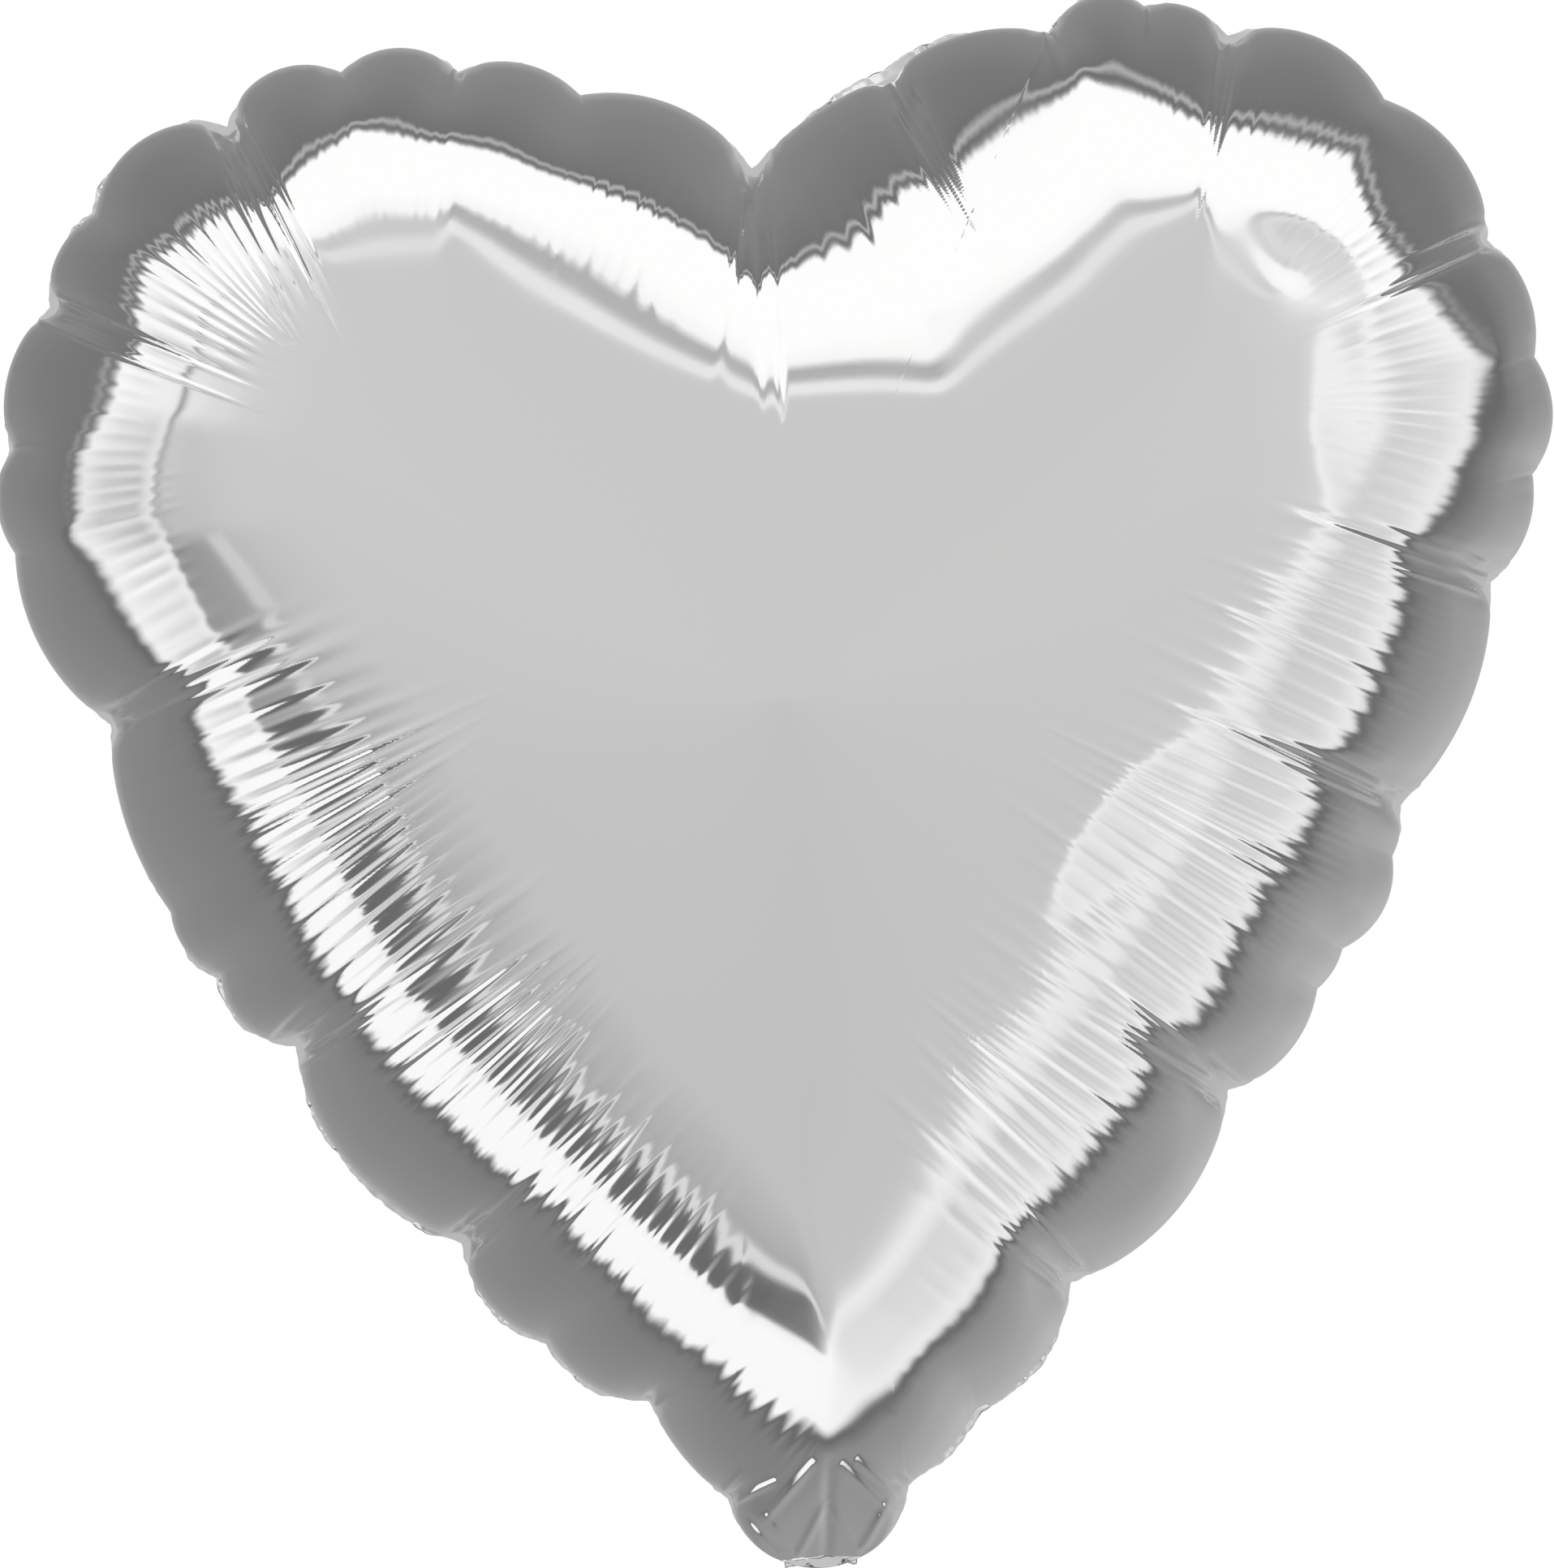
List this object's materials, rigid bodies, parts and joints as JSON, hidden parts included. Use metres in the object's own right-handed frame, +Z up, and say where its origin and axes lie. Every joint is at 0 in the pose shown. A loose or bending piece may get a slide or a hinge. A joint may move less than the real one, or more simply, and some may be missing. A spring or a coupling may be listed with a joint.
{
  "type": "heart-shaped foil balloon",
  "caption": "Inflated heart-shaped foil balloon: two sealed metallised films with a pleated seam, and a valved filling tail folded up behind its gathered neck.",
  "frame": {"origin": "the gathered neck at the heart's bottom tip, in the seam's plane, where a ribbon or a stick is tied", "axes": "+Z up from the neck towards the notch between the lobes, +X towards the right lobe seen from the front, front facing -Y"},
  "size_m": [0.3998, 0.165, 0.3978],
  "materials": {
    "foil": "mirror-bright metallised film",
    "seal": "heat-sealed metallised film, finely crinkled",
    "valve_film": "clear polyethylene film",
    "release_print": "matt heat-resistant print"
  },
  "bodies": {
    "balloon": {"front_panel": "foil", "rear_panel": "foil", "body_seam": "seal", "valve_body_front": "valve_film", "valve_body_rear": "valve_film", "release_patch": "release_print"},
    "tail": {"tail_front_ply": "foil", "tail_rear_ply": "foil", "tail_seam_left": "seal", "tail_seam_right": "seal", "valve_tail_front": "valve_film", "valve_tail_rear": "valve_film"}
  },
  "joints": [
    {"name": "tail_fold", "type": "hinge", "parent": "balloon", "child": "tail", "pos_m": [0, 0.0018, 0], "axis": [-1, 0, 0], "range_deg": [0, 146]}
  ]
}
